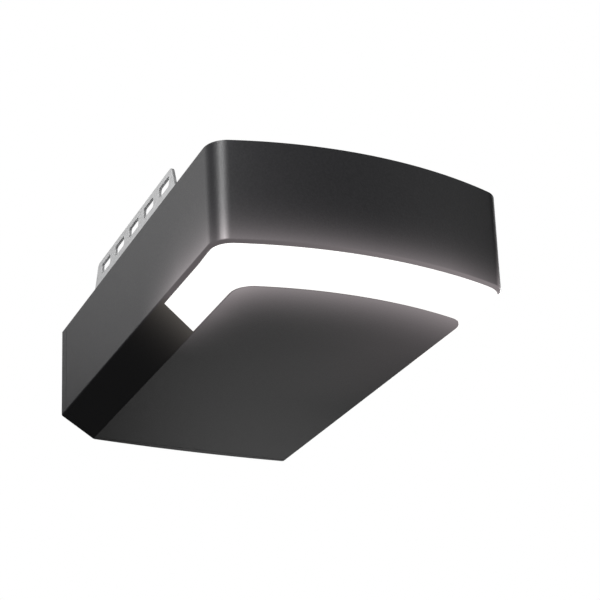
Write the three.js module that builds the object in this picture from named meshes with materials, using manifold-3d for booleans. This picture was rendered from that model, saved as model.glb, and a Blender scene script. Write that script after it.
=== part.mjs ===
// Garage door opener head: a ceiling-hung drive unit with a U-shaped LED light.
// Millimetres, +Z up. The curved light end faces -Y and the controls face +Y.
// The origin is the middle of the rail channel's seat, where the rail lies.
import * as THREE from "three";
import { mergeVertices } from "three/addons/utils/BufferGeometryUtils.js";
import Module from "manifold-3d";

const wasm = await Module();
wasm.setup();

// ---------------------------------------------------------------- dimensions
// Casing: three plan outlines, joined by straight walls and chamfers.
const WALL = 2.5;
const RIM_Z = -1; // top rim of the plastic casing
const EDGE_Z = -85.5; // where the upright walls turn into the chamfer
const FLOOR_Z = -109; // outer face of the bottom
const FRONT = -206; // foremost point of the curved front
const REAR = 205.5; // rear corners of the rear cover
const REAR_BOW = 6.5; // how far the rear wall bulges between its corners
const FRONT_ARC = 366; // plan radius of the curved front
const SEAM_Y = 190; // joint between main cover and rear cover
const SEAM_GAP = 0.3;
const CASING_LEVELS = {
  rim: { half: 127.2, front: FRONT, rear: REAR, bow: REAR_BOW, arc: FRONT_ARC, fillet: 20, z: RIM_Z },
  edge: { half: 125, front: FRONT, rear: REAR, bow: REAR_BOW, arc: FRONT_ARC, fillet: 18.5, z: EDGE_Z },
  floor: { half: 97, front: -175.5, rear: 194.7, bow: 3.8, arc: 335.5, fillet: 18, z: FLOOR_Z },
};
const ARC_STEPS = 14;
const FILLET_STEPS = 5;
const REAR_STEPS = 8;

// Light: the lens lies in the chamfer, a lip below the casing's edge.
const LENS_END_Y = -70; // rear end of both legs of the U
const LENS_LIP = 3.5;
const LENS_THICKNESS = 2.4;
const LED_COUNT = 18;
const LEDS_PER_LEG = 4;

// Chassis plate and what stands on it.
const PLATE_TOP = -2.1;
const PLATE_THICKNESS = 2;
const PLATE_BOTTOM = PLATE_TOP - PLATE_THICKNESS;
const BRACKET = { outerX: 124, sheet: 2.5, footWidth: 26, midY: 6.6, top: 25.4, corner: 6 };
const FLANGE_HALF = { top: 96.4, base: 107.4 };
const BRACKET_SLOT = { midY: 4, z: 15.4, pitch: 38, count: 5, width: 9, length: 24, corner: 2.2 };
const CHANNEL = { half: 25, sheet: 1.9, wall: 20, length: 220, opening: 21 };
const CROSS_BOLT_HOLE = { r: 3.2, y: 92, z: 12 };

// Worm drive: the output shaft is upright, the worm lies along Y beside it.
const MODULE = 2;
const WHEEL_TEETH = 38;
const WORM_STARTS = 2;
const WORM_R = 8;
const WHEEL_R = (MODULE * WHEEL_TEETH) / 2;
const TOOTH_PITCH = Math.PI * MODULE;
const WORM_LEAD = WORM_STARTS * TOOTH_PITCH;
const SHAFT = { y: -60, r: 7, bottom: -65, top: 19.5 };
const DRIVE_Z = -38; // height of the worm's axis and of the wheel's middle
const WORM_X = WHEEL_R + WORM_R;
const WHEEL_FACE = 12;
const ADDENDUM = 1.7;
const DEDENDUM = 2.5;
const TOOTH_HALF = 1.27; // half thickness at the pitch line, backlash taken off
const FLANK = 0.364; // tangent of the 20 degree pressure angle
const HOUSING = { x0: -50, x1: 62, y0: -110, y1: -10, top: -14, bottom: -56, wall: 4, lid: 4 };
const MOTOR = { y0: -9.7, y1: 88, r: 31, sheet: 2.5, capLength: 12, armatureR: 22.5, shaftR: 4 };
const CLEARANCE = 0.3;

// Controls in the rear cover.
const PANEL = { x: 60, z: -46, width: 92, height: 46, corner: 5, y0: 206.6, y1: 212.6 };
const BUTTON = { r: 5.5, proud: 1.8, depth: 9, pitch: 17, x: 33, travel: 1.5, collar: 1.6, stemR: 2 };
const INLET = { x: -84, z: -48, width: 31, height: 24, corner: 2, y0: 190, y1: 211.6 };
const SOCKET = { width: 22, height: 15, corner: 3, depth: 15 };
const TERMINAL = { x: -36, z: -48, width: 44, height: 18, corner: 1.5, y0: 192, y1: 211, ways: 6 };
const BOARD = { y: 185, thickness: 1.6, x0: -112, x1: 114, z0: -84, z1: -14 };
const SWITCH_TOP = BOARD.y + 5;

// ---------------------------------------------------------------- materials
const material = (color, roughness, metalness) =>
  new THREE.MeshStandardMaterial({ color, roughness, metalness });
const casingPlastic = material(0x2b2b2d, 0.55, 0.0);
const lensPlastic = material(0xffffff, 0.35, 0.0);
const galvanised = material(0xb9babc, 0.45, 0.9);
const zincSteel = material(0xa8a9ab, 0.35, 1.0);
const dieCast = material(0x9a9b9d, 0.5, 0.8);
const motorSteel = material(0x2d2f33, 0.45, 0.6);
const ferrite = material(0x3a3a3c, 0.8, 0.1);
const copper = material(0xb4693a, 0.4, 0.8);
const nylon = material(0xe6e1d2, 0.5, 0.0);
const rubber = material(0x1b1b1b, 0.9, 0.0);
const boardGreen = material(0x1f5a36, 0.4, 0.0);
const whitePlastic = material(0xf0f0ee, 0.5, 0.0);
const blackPlastic = material(0x161618, 0.45, 0.0);
const bluePlastic = material(0x1d4f9c, 0.4, 0.0);
const greenPlastic = material(0x3b9a4c, 0.45, 0.0);
const greyPlastic = material(0x8d9096, 0.5, 0.0);
const aluminium = material(0xc4c6c9, 0.4, 0.9);
const smokedWindow = material(0x0a0a0c, 0.1, 0.0);

// ---------------------------------------------------------------- solids
// A three.js geometry as a manifold solid facing outwards.
function solid(geometry) {
  const bare = geometry.index ? geometry.toNonIndexed() : geometry.clone();
  bare.deleteAttribute("normal");
  bare.deleteAttribute("uv");
  const merged = mergeVertices(bare, 1e-4);
  const triVerts = new Uint32Array(merged.index.array);
  const vertProperties = merged.attributes.position.array;
  const made = new wasm.Manifold(new wasm.Mesh({ numProp: 3, vertProperties, triVerts }));
  if (made.volume() >= 0) return made;
  for (let i = 0; i < triVerts.length; i += 3) {
    [triVerts[i + 1], triVerts[i + 2]] = [triVerts[i + 2], triVerts[i + 1]];
  }
  return new wasm.Manifold(new wasm.Mesh({ numProp: 3, vertProperties, triVerts }));
}

const join = (first, ...others) => others.reduce((all, next) => all.add(next), first);
const cut = (first, ...others) => others.reduce((left, next) => left.subtract(next), first);

function geometryOf(body) {
  const mesh = body.getMesh();
  const positions = new Float32Array(mesh.numVert * 3);
  for (let i = 0; i < mesh.numVert; i++) {
    positions.set(mesh.vertProperties.subarray(i * mesh.numProp, i * mesh.numProp + 3), i * 3);
  }
  return new THREE.BufferGeometry()
    .setAttribute("position", new THREE.BufferAttribute(positions, 3))
    .setIndex(new THREE.BufferAttribute(mesh.triVerts, 1));
}

// A box between two corners.
function box([x0, y0, z0], [x1, y1, z1]) {
  const geometry = new THREE.BoxGeometry(x1 - x0, y1 - y0, z1 - z0);
  return solid(geometry.translate((x0 + x1) / 2, (y0 + y1) / 2, (z0 + z1) / 2));
}

// Round bars along each axis: centre of the two coordinates across, then the span.
function barZ(r, x, y, z0, z1, sides = 20) {
  const geometry = new THREE.CylinderGeometry(r, r, z1 - z0, sides).rotateX(Math.PI / 2);
  return solid(geometry.translate(x, y, (z0 + z1) / 2));
}
function barY(r, x, z, y0, y1, sides = 20) {
  return solid(new THREE.CylinderGeometry(r, r, y1 - y0, sides).translate(x, (y0 + y1) / 2, z));
}
function barX(r, y, z, x0, x1, sides = 16) {
  const geometry = new THREE.CylinderGeometry(r, r, x1 - x0, sides).rotateZ(Math.PI / 2);
  return solid(geometry.translate((x0 + x1) / 2, y, z));
}

// A shape drawn in plan, raised from z0 to z1.
function raised(shape, z0, z1) {
  const geometry = new THREE.ExtrudeGeometry(shape, { depth: z1 - z0, bevelEnabled: false });
  return solid(geometry.translate(0, 0, z0));
}
// A shape drawn as seen from the rear (x to the left), pushed from y0 to y1.
function pushedY(shape, x, z, y0, y1) {
  const geometry = new THREE.ExtrudeGeometry(shape, { depth: y1 - y0, bevelEnabled: false });
  return solid(geometry.rotateX(Math.PI / 2).translate(x, y1, z));
}

// Points of an arc in plan, both ends included.
const arcPoints = (x, y, r, from, to, steps) =>
  Array.from({ length: steps + 1 }, (_, i) => {
    const a = from + ((to - from) * i) / steps;
    return new THREE.Vector2(x + r * Math.cos(a), y + r * Math.sin(a));
  });

function roundedRectangle(width, height, corner, steps = 3) {
  const [w, h] = [width / 2 - corner, height / 2 - corner];
  const middles = [[w, -h], [w, h], [-w, h], [-w, -h]];
  const quarter = Math.PI / 2;
  return new THREE.Shape(
    middles.flatMap(([x, y], i) => arcPoints(x, y, corner, (i - 1) * quarter, i * quarter, steps)),
  );
}

// A turned piece about Z from [radius, height] pairs that start and end on the axis.
function turned(profile, sides = 16) {
  const points = profile.map(([r, h]) => new THREE.Vector2(r, h));
  return solid(new THREE.LatheGeometry(points, sides).rotateX(Math.PI / 2));
}

// Joins closed loops of equal length by straight walls and closes both ends from their middles.
function loft(loops) {
  const count = loops[0].length;
  const positions = loops.flat().flatMap((p) => [p.x, p.y, p.z]);
  const faces = [];
  for (let level = 0; level + 1 < loops.length; level++) {
    for (let i = 0; i < count; i++) {
      const [a, b] = [level * count + i, level * count + ((i + 1) % count)];
      faces.push(a, b, b + count, a, b + count, a + count);
    }
  }
  [0, loops.length - 1].forEach((level) => {
    const middle = loops[level].reduce((sum, p) => sum.add(p), new THREE.Vector3()).divideScalar(count);
    const centre = positions.length / 3;
    positions.push(middle.x, middle.y, middle.z);
    for (let i = 0; i < count; i++) {
      const [a, b] = [level * count + i, level * count + ((i + 1) % count)];
      faces.push(...(level ? [a, b, centre] : [b, a, centre]));
    }
  });
  const geometry = new THREE.BufferGeometry();
  geometry.setAttribute("position", new THREE.Float32BufferAttribute(positions, 3)).setIndex(faces);
  return solid(geometry);
}

// ---------------------------------------------------------------- casing outline
// The front of an outline, from the left side round the curved front to the right side.
function frontOutline({ half, front, arc, fillet }) {
  const centreY = front + arc;
  const filletX = half - fillet;
  const filletY = centreY - Math.sqrt((arc - fillet) ** 2 - filletX ** 2);
  const turn = Math.atan2(filletY - centreY, -filletX) + 2 * Math.PI;
  const left = arcPoints(-filletX, filletY, fillet, Math.PI, turn, FILLET_STEPS);
  const middle = arcPoints(0, centreY, arc, turn, 3 * Math.PI - turn, ARC_STEPS);
  const right = arcPoints(filletX, filletY, fillet, 3 * Math.PI - turn, 2 * Math.PI, FILLET_STEPS);
  return [...left, ...middle.slice(1, -1), ...right];
}

// The whole outline, anticlockwise from above, with its bowed rear.
function planOutline(level) {
  const { half, rear, bow } = level;
  const radius = (half ** 2 + bow ** 2) / (2 * bow);
  const spread = Math.asin(half / radius);
  const centreY = rear + bow - radius;
  const back = arcPoints(0, centreY, radius, Math.PI / 2 - spread, Math.PI / 2 + spread, REAR_STEPS);
  return [...back, ...frontOutline(level)];
}

// One level of the casing, moved inwards by a wall thickness, with mitred corners.
function insetLevel(name, d) {
  const level = CASING_LEVELS[name];
  const floor = name === "floor";
  const slope = (run) => Math.tan(Math.atan2(EDGE_Z - FLOOR_Z, run) / 2);
  const side = floor ? slope(CASING_LEVELS.edge.half - level.half) : 1;
  const nose = floor ? slope(level.front - FRONT) : 1;
  const tail = floor ? slope(REAR - level.rear) : 1;
  const lift = { rim: 0, edge: 0.44 * d, floor: d }[name];
  return {
    ...level, half: level.half - d * side, front: level.front + d * nose, rear: level.rear - d * tail,
    arc: level.arc - d * nose, fillet: level.fillet - d * side, z: level.z + lift,
  };
}

const loopAt = (outline, z) => outline.map((p) => new THREE.Vector3(p.x, p.y, z));

// The casing's full volume, moved inwards by d, with its top raised by extra.
function casingVolume(d, extra) {
  const levels = ["floor", "edge", "rim"].map((name) => insetLevel(name, d));
  levels[2].z += extra;
  return loft(levels.map((level) => loopAt(planOutline(level), level.z)));
}

// ---------------------------------------------------------------- light strip
// Sections of the chamfer from one rear end of the U to the other. Each gives its upper point, the
// way down the chamfer and the outward normal.
function chamferSections(endY) {
  const lines = ["edge", "floor"].map((name) => {
    const level = CASING_LEVELS[name];
    const front = frontOutline(level);
    const ends = [-level.half, level.half].map((x) => new THREE.Vector2(x, endY));
    return loopAt([ends[0], ...front, ends[1]], level.z);
  });
  return lines[0].map((upper, i) => {
    const [before, after] = [Math.max(i - 1, 0), Math.min(i + 1, lines[0].length - 1)];
    const along = new THREE.Vector3();
    lines.forEach((line) => along.add(line[after]).sub(line[before]));
    const down = lines[1][i].clone().sub(upper);
    return { upper, down, normal: along.clone().cross(down).normalize().negate() };
  });
}

// A strip in the chamfer whose section is given by points [edge, margin, depth]: edge 0 measures the
// margin down from the chamfer's upper edge and edge 1 up from its lower edge; depth is outwards.
function chamferStrip(section, endY) {
  return loft(
    chamferSections(endY).map(({ upper, down, normal }) => {
      const length = down.length();
      return section.map(([edge, margin, depth]) => {
        const share = edge ? 1 - margin / length : margin / length;
        return upper.clone().addScaledVector(down, share).addScaledVector(normal, depth);
      });
    }),
  );
}

// A plan band of the U, between two insets from the casing's edge outline, open to the rear.
function uBand(outerInset, innerInset, z0, z1, endY) {
  const side = (inset) => {
    const { half, front, arc, fillet } = CASING_LEVELS.edge;
    const corner = Math.max(fillet - inset, 2);
    const level = { half: half - inset, front: front + inset, arc: arc - inset, fillet: corner };
    const ends = [-level.half, level.half].map((x) => new THREE.Vector2(x, endY));
    return [ends[0], ...frontOutline(level), ends[1]];
  };
  return raised(new THREE.Shape([...side(outerInset), ...side(innerInset).reverse()]), z0, z1);
}

// ---------------------------------------------------------------- casing pieces
const COVER_SCREWS = [[-118.5, -120], [118.5, -120], [-118.5, 160], [118.5, 160]];

const casingShell = cut(casingVolume(0, 0), casingVolume(WALL, 10));

function mainCover() {
  const behindSeam = box([-200, SEAM_Y - SEAM_GAP / 2, -200], [200, 300, 50]);
  const windowSection = [[0, LENS_LIP, 2], [1, 0.2, 2], [1, 0.2, -6], [0, LENS_LIP, -6]];
  const window = chamferStrip(windowSection, LENS_END_Y);
  const bosses = COVER_SCREWS.map(([x, y]) => barZ(6.5, x, y, -34, PLATE_BOTTOM - 0.3, 12));
  const pilots = COVER_SCREWS.map(([x, y]) => barZ(2.1, x, y, -26, 0, 8));
  const shell = cut(casingShell, behindSeam, window);
  return cut(join(shell, ...bosses), ...pilots);
}

function rearCover() {
  const beforeSeam = box([-200, -300, -200], [200, SEAM_Y + SEAM_GAP / 2, 50]);
  const shell = cut(casingShell, beforeSeam);
  const hole = ({ x, z, width, height, corner }) =>
    pushedY(roundedRectangle(width + 0.8, height + 0.8, corner), x, z, 195, 220);
  const vents = Array.from({ length: 12 }, (_, i) =>
    pushedY(roundedRectangle(3.2, 14, 1.5, 1), -100 + (i * 200) / 11, -14, 195, 220),
  );
  return cut(shell, hole(PANEL), hole(INLET), hole(TERMINAL), ...vents);
}

// The lens: its face fills the window, and a flange inside the casing holds it there.
function lightLens() {
  const [low, back] = [LENS_LIP + CLEARANCE, -WALL - 0.35];
  const section = [
    [0, low, -0.1], [1, 1.1, -0.1], [1, 1.1, -LENS_THICKNESS], [1, 3, -LENS_THICKNESS],
    [1, 3, back - 1.5], [0, low - 2, back - 1.5], [0, low - 2, back], [0, low, back],
  ];
  return chamferStrip(section, LENS_END_Y - CLEARANCE);
}

// The white wall behind the lens that keeps the light in the U.
const reflectorWall = () => uBand(33, 34.6, -105.8, -82.4, LENS_END_Y - 4);

function ledBoard() {
  const board = uBand(9, 31, -82, -80.4, LENS_END_Y - 4);
  const sideYs = Array.from({ length: LEDS_PER_LEG }, (_, i) => LENS_END_Y - 14 - i * 22);
  const sides = sideYs.flatMap((y) => [-105, 105].map((x) => [x, y]));
  const frontCount = LED_COUNT - sides.length;
  const front = Array.from({ length: frontCount }, (_, i) => {
    const a = 1.5 * Math.PI + (i / (frontCount - 1) - 0.5) * 0.5;
    const r = FRONT_ARC - 20;
    return [r * Math.cos(a), FRONT + FRONT_ARC + r * Math.sin(a)];
  });
  const chip = ([x, y]) => box([x - 2.5, y - 2.5, -83.4], [x + 2.5, y + 2.5, -81.8]);
  return join(board, ...[...sides, ...front].map(chip));
}

// ---------------------------------------------------------------- chassis pieces
const CHANNEL_SCREWS = [[-16, -92], [16, -92], [-16, 92], [16, 92]];
const HOUSING_BOLTS = [[-42, -100], [54, -100], [-42, -20], [54, -20]];
const BRACKET_SCREWS = [[-108, -62], [-108, 70], [108, -62], [108, 70]];
const TRANSFORMER = { x: -60, y: 74, r: 43, bore: 12, height: 42 };

function chassisPlate() {
  const level = insetLevel("rim", WALL + 0.7);
  const sheet = raised(new THREE.Shape(planOutline(level)), PLATE_BOTTOM, PLATE_TOP);
  const hole = (r, x, y, sides = 8) => barZ(r, x, y, -10, 5, sides);
  const screwHoles = [...COVER_SCREWS, ...BRACKET_SCREWS].map(([x, y]) => hole(2.4, x, y));
  const boltHoles = [...CHANNEL_SCREWS, ...HOUSING_BOLTS].map(([x, y]) => hole(3.3, x, y));
  const vents = [-1, 1].flatMap((side) =>
    Array.from({ length: 5 }, (_, i) =>
      raised(roundedRectangle(24, 5, 2.4, 1), -10, 5).translate(side * 68, 122 + i * 12, 0),
    ),
  );
  const beads = [-1, 1].map((side) =>
    raised(roundedRectangle(9, 150, 4.4), PLATE_TOP - 0.5, PLATE_TOP + 1.4).translate(side * 76, -20, 0),
  );
  const wireHole = raised(roundedRectangle(30, 12, 4), -10, 5).translate(-70, -150, 0);
  const shaftHole = hole(CHANNEL.opening, 0, SHAFT.y, 20);
  const centreBolt = hole(3.3, TRANSFORMER.x, TRANSFORMER.y);
  return cut(join(sheet, ...beads), ...screwHoles, ...boltHoles, ...vents, wireHole, shaftHole, centreBolt);
}

// The left bracket: an upright flange with slots, and a foot that turns inwards on the plate.
function hangingBracket() {
  const { outerX, sheet, footWidth, midY, top, corner } = BRACKET;
  const [halfTop, halfBase] = [FLANGE_HALF.top, FLANGE_HALF.base];
  const base = PLATE_TOP + 0.1;
  const lean = Math.atan2(halfBase - halfTop, top - base);
  const outline = new THREE.Shape().moveTo(-halfBase, base).lineTo(halfBase, base);
  const bend = (Math.PI / 2 - lean) / 2;
  const run = corner * Math.tan(bend);
  const sideStart = [halfTop + run * Math.sin(lean), top - run * Math.cos(lean)];
  outline.lineTo(...sideStart).quadraticCurveTo(halfTop, top, halfTop - run, top);
  outline.lineTo(-halfTop + run, top).quadraticCurveTo(-halfTop, top, -sideStart[0], sideStart[1]);
  // Drawn with the shape's x along Y and its y upwards, then turned to face X.
  const upright = (shape, depth) =>
    new THREE.ExtrudeGeometry(shape, { depth, bevelEnabled: false, curveSegments: 3 })
      .rotateX(Math.PI / 2)
      .rotateZ(Math.PI / 2);
  const flange = solid(upright(outline, sheet).translate(-outerX, 0, 0));
  const foot = box([-outerX, -halfBase, base], [-outerX + footWidth, halfBase, base + sheet]);
  const { z, pitch, count, width, length } = BRACKET_SLOT;
  const slotY = (i) => BRACKET_SLOT.midY - midY + (i - (count - 1) / 2) * pitch;
  const slotShape = roundedRectangle(length, width, BRACKET_SLOT.corner, 2);
  const slots = Array.from({ length: count }, (_, i) =>
    solid(upright(slotShape, 12).translate(-outerX - 5, slotY(i), z)),
  );
  const leftScrews = BRACKET_SCREWS.filter(([x]) => x < 0);
  const holes = leftScrews.map(([x, y]) => barZ(2.4, x, y - midY, -10, 10, 8));
  return cut(join(flange, foot), ...slots, ...holes);
}

function railChannel() {
  const { half, sheet, wall, length, opening } = CHANNEL;
  const body = box([-half, -length / 2, -sheet], [half, length / 2, wall]);
  const inside = box([-half + sheet, -length, 0], [half - sheet, length, wall + 5]);
  const shaftHole = barZ(opening, 0, SHAFT.y, -5, 5, 20);
  const sink = turned([[0, -3], [3.3, -3], [3.3, -sheet], [5.9, 0.02], [5.9, 1], [0, 1]], 12);
  const screwHoles = CHANNEL_SCREWS.map(([x, y]) => sink.translate(x, y, 0));
  const crossHoles = [-1, 1].map((side) =>
    barX(CROSS_BOLT_HOLE.r, side * CROSS_BOLT_HOLE.y, CROSS_BOLT_HOLE.z, -half - 5, half + 5, 12),
  );
  return cut(body, inside, shaftHole, ...screwHoles, ...crossHoles);
}

// A countersunk screw whose head is flush with z = 0, and so clear of the rail on its seat.
const countersunkScrew = (shankR, length, headR, headDepth) =>
  turned([[0, -length], [shankR, -length], [shankR, -headDepth + 0.1], [headR, 0], [0, 0]], 12);
// A hexagon bolt or a pan-head screw whose underside of head is at z = 0.
const hexBolt = (shankR, length, headR, headHeight) =>
  join(barZ(shankR, 0, 0, -length, 0.5, 8), barZ(headR, 0, 0, 0, headHeight, 6));
const panScrew = (shankR, length, headR, headHeight) =>
  turned([[0, -length], [shankR, -length], [shankR, 0], [headR, 0], [headR, headHeight * 0.5],
    [headR * 0.7, headHeight], [0, headHeight]], 8);

// ---------------------------------------------------------------- drive pieces
function gearboxHousing() {
  const { x0, x1, y0, y1, top, bottom, wall } = HOUSING;
  const [width, depth] = [x1 - x0, y1 - y0];
  const [midX, midY] = [(x0 + x1) / 2, (y0 + y1) / 2];
  const block = raised(roundedRectangle(width, depth, 10), bottom, top).translate(midX, midY, 0);
  const wheelRoom = barZ(WHEEL_R + 4, 0, SHAFT.y, bottom - 1, DRIVE_Z + 12, 24);
  const wormRoom = barY(WORM_R + 4, WORM_X, DRIVE_Z, y0 + 14, y1 - wall, 20);
  const wormOpening = box([WORM_X - 11, y0 + 14, bottom - 1], [WORM_X + 11, y1 - wall, DRIVE_Z]);
  const frontBush = barY(6.4, WORM_X, DRIVE_Z, y0 - 1, y0 + 15, 20);
  const motorBore = barY(MOTOR.shaftR + 2, WORM_X, DRIVE_Z, y1 - wall - 1, y1 + 1, 20);
  const bearingSeat = barZ(15.4, 0, SHAFT.y, DRIVE_Z + 11, top + 1, 24);
  const bolts = HOUSING_BOLTS.map(([x, y]) => barZ(3.3, x, y, -30, top + 1, 8));
  return cut(block, wheelRoom, wormRoom, wormOpening, frontBush, motorBore, bearingSeat, ...bolts);
}

function gearboxLid() {
  const { x0, x1, y0, y1, bottom, lid } = HOUSING;
  const [midX, midY] = [(x0 + x1) / 2, (y0 + y1) / 2];
  const plate = raised(roundedRectangle(x1 - x0, y1 - y0, 10), bottom - CLEARANCE - lid, bottom - CLEARANCE);
  const cup = barZ(20, 0, SHAFT.y, -70, bottom - 2, 24);
  const seat = barZ(15.4, 0, SHAFT.y, -66, bottom + 5, 24);
  const shaftEnd = barZ(SHAFT.r + 1, 0, SHAFT.y, -68, bottom, 20);
  return cut(join(plate.translate(midX, midY, 0), cup), seat, shaftEnd);
}

const ring = (outerR, innerR, z0, z1, sides = 24) =>
  cut(barZ(outerR, 0, 0, z0, z1, sides), barZ(innerR, 0, 0, z0 - 1, z1 + 1, sides));

// The worm wheel, its teeth leaning to match the worm's lead angle.
function wormWheel() {
  const levels = [-WHEEL_FACE / 2, WHEEL_FACE / 2];
  const lean = WORM_LEAD / (2 * Math.PI * WORM_R) / WHEEL_R;
  const corners = [
    [WHEEL_R - DEDENDUM, -(TOOTH_HALF + DEDENDUM * FLANK)],
    [WHEEL_R + ADDENDUM, -(TOOTH_HALF - ADDENDUM * FLANK)],
    [WHEEL_R + ADDENDUM, TOOTH_HALF - ADDENDUM * FLANK],
    [WHEEL_R - DEDENDUM, TOOTH_HALF + DEDENDUM * FLANK],
  ];
  const loops = levels.map((height) =>
    Array.from({ length: WHEEL_TEETH }, (_, tooth) =>
      corners.map(([r, across]) => {
        const a = (tooth * 2 * Math.PI) / WHEEL_TEETH + across / r - lean * height;
        return new THREE.Vector3(r * Math.cos(a), r * Math.sin(a), height);
      }),
    ).flat(),
  );
  const webs = [-1, 1].map((side) => ring(31, 13, side * 4.5 - 2, side * 4.5 + 2, 20));
  return cut(loft(loops), ...webs, barZ(SHAFT.r + 0.3, 0, 0, -10, 10, 20));
}

// One worm thread, swept along its helix about the Y axis.
function wormThread(start, y0, y1) {
  const stepsPerTurn = 12;
  const rise = WORM_LEAD / (2 * Math.PI);
  // A gap of the worm faces the wheel's tooth at rest, on the side towards the shaft.
  const phase = SHAFT.y + TOOTH_PITCH / 2 + start * TOOTH_PITCH - rise * Math.PI;
  const first = Math.ceil(((y0 - phase) / rise / (2 * Math.PI)) * stepsPerTurn);
  const last = Math.floor(((y1 - phase) / rise / (2 * Math.PI)) * stepsPerTurn);
  const rootR = WORM_R - DEDENDUM - 0.8;
  const tipR = WORM_R + ADDENDUM;
  const corners = [[rootR, -1], [tipR, -1], [tipR, 1], [rootR, 1]];
  return loft(
    Array.from({ length: last - first + 1 }, (_, i) => {
      const a = ((first + i) * 2 * Math.PI) / stepsPerTurn;
      return corners.map(([r, side]) => {
        const across = side * (TOOTH_HALF - (r - WORM_R) * FLANK);
        return new THREE.Vector3(r * Math.cos(a), phase + rise * a + across, r * Math.sin(a));
      });
    }),
  );
}

// The rotor's shaft with the worm cut on it. Local axis Y through x = z = 0.
function wormShaft() {
  const threads = Array.from({ length: WORM_STARTS }, (_, start) => wormThread(start, -78, -42));
  const core = barY(WORM_R - DEDENDUM, 0, 0, -82, -38, 12);
  const shaft = barY(MOTOR.shaftR, 0, 0, -108, 111, 12);
  return join(shaft, core, ...threads);
}

function armature() {
  const slots = 8;
  const stack = barY(MOTOR.armatureR, 0, 0, 8, 62, 24);
  const cuts = Array.from({ length: slots }, (_, i) => {
    const a = (i * 2 * Math.PI) / slots;
    return barY(2.6, 17.5 * Math.cos(a), 17.5 * Math.sin(a), 0, 70, 6);
  });
  const commutator = barY(11, 0, 0, 61, 78, 20);
  return cut(join(cut(stack, ...cuts), commutator), barY(MOTOR.shaftR + 0.1, 0, 0, 0, 100, 16));
}

function magnet(side) {
  const arcShape = new THREE.Shape();
  const [inner, outer, reach] = [23.6, MOTOR.r - MOTOR.sheet - 0.3, 1.1];
  arcShape.absarc(0, 0, outer, -reach, reach, false);
  arcShape.absarc(0, 0, inner, reach, -reach, true);
  const geometry = new THREE.ExtrudeGeometry(arcShape, { depth: 60, bevelEnabled: false, curveSegments: 4 });
  return solid(geometry.rotateX(Math.PI / 2).rotateY(side > 0 ? 0 : Math.PI).translate(0, 66, 0));
}

function motorCan() {
  const { y0, y1, r, sheet, shaftR } = MOTOR;
  const body = barY(r, 0, 0, y0, y1, 28);
  return cut(body, barY(r - sheet, 0, 0, y0 + 3, y1 + 1, 28), barY(shaftR + 1.5, 0, 0, y0 - 1, y0 + 4, 16));
}

function motorEndCap() {
  const { y1, r, capLength, shaftR } = MOTOR;
  const cap = barY(r, 0, 0, y1 + CLEARANCE, y1 + capLength, 28);
  const hub = barY(12, 0, 0, y1 + 6, y1 + capLength + 5, 16);
  const hollow = barY(r - 4, 0, 0, y1 - 1, y1 + capLength - 3, 20);
  return cut(join(cap, hub), hollow, barY(shaftR + CLEARANCE, 0, 0, y1 - 1, y1 + capLength + 6, 16));
}

function encoderDisc() {
  const disc = barY(17, 0, 0, 108, 110, 24);
  const windows = Array.from({ length: 8 }, (_, i) => {
    const a = (i * Math.PI) / 4;
    return barY(1.8, 13 * Math.cos(a), 13 * Math.sin(a), 100, 115, 6);
  });
  return cut(disc, ...windows, barY(MOTOR.shaftR + 0.1, 0, 0, 100, 115, 16));
}

// Toothed belt sprocket with a flange at each end.
function driveSprocket() {
  const teeth = 14;
  const tooth = [[13.2, 0], [13.2, 0.34], [15.8, 0.48], [15.8, 0.86]];
  const points = Array.from({ length: teeth }, (_, i) =>
    tooth.map(([r, share]) => {
      const a = ((i + share) * 2 * Math.PI) / teeth;
      return new THREE.Vector2(r * Math.cos(a), r * Math.sin(a));
    }),
  );
  const flanges = [[3, 4.6], [15.4, 17]].map(([z0, z1]) => barZ(18, 0, 0, z0, z1, 20));
  const toothed = raised(new THREE.Shape(points.flat()), 4.4, 15.6);
  return cut(join(toothed, ...flanges), barZ(SHAFT.r + CLEARANCE, 0, 0, 0, 20, 20));
}

function outputShaft() {
  const { r, bottom, top } = SHAFT;
  const groove = ring(r + 2, r - 0.9, 17.8, 18.9, 20);
  return cut(barZ(r, 0, 0, bottom, top, 20), groove);
}

// An open snap ring that sits in the groove near the shaft's top.
function retainingClip() {
  const clip = ring(SHAFT.r + 2.6, SHAFT.r - 0.75, 17.9, 18.8, 20);
  return cut(clip, box([0, -2.2, 17], [12, 2.2, 20]));
}

// ---------------------------------------------------------------- electrics
function transformerCoil() {
  const { r, bore, height } = TRANSFORMER;
  const [half, soft] = [height / 2, 9];
  const section = roundedRectangle(r - bore, height, soft, 2).getPoints();
  const points = section.map((p) => new THREE.Vector2(p.x + (r + bore) / 2, p.y - half));
  points.push(points[0].clone());
  return solid(new THREE.LatheGeometry(points, 20).rotateX(Math.PI / 2));
}

function controlBoard() {
  const { y, thickness, x0, x1, z0, z1 } = BOARD;
  const board = box([x0, y - thickness, z0], [x1, y, z1]);
  const switches = BUTTONS.map((b) => box([b.x - 3, y - 0.5, b.z - 3], [b.x + 3, SWITCH_TOP, b.z + 3]));
  const header = box([PANEL.x + 18, y - 0.5, PANEL.z - 9], [PANEL.x + 38, y + 9, PANEL.z + 9]);
  return join(board, ...switches, header);
}

const BUTTONS = [
  { name: "up", x: BUTTON.x, z: PANEL.z + BUTTON.pitch / 2 },
  { name: "down", x: BUTTON.x, z: PANEL.z - BUTTON.pitch / 2 },
  { name: "set", x: BUTTON.x + BUTTON.pitch, z: PANEL.z + BUTTON.pitch / 2 },
  { name: "learn", x: BUTTON.x + BUTTON.pitch, z: PANEL.z - BUTTON.pitch / 2 },
];
const DISPLAY = { x: PANEL.x + 22, z: PANEL.z, width: 30, height: 22 };

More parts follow.
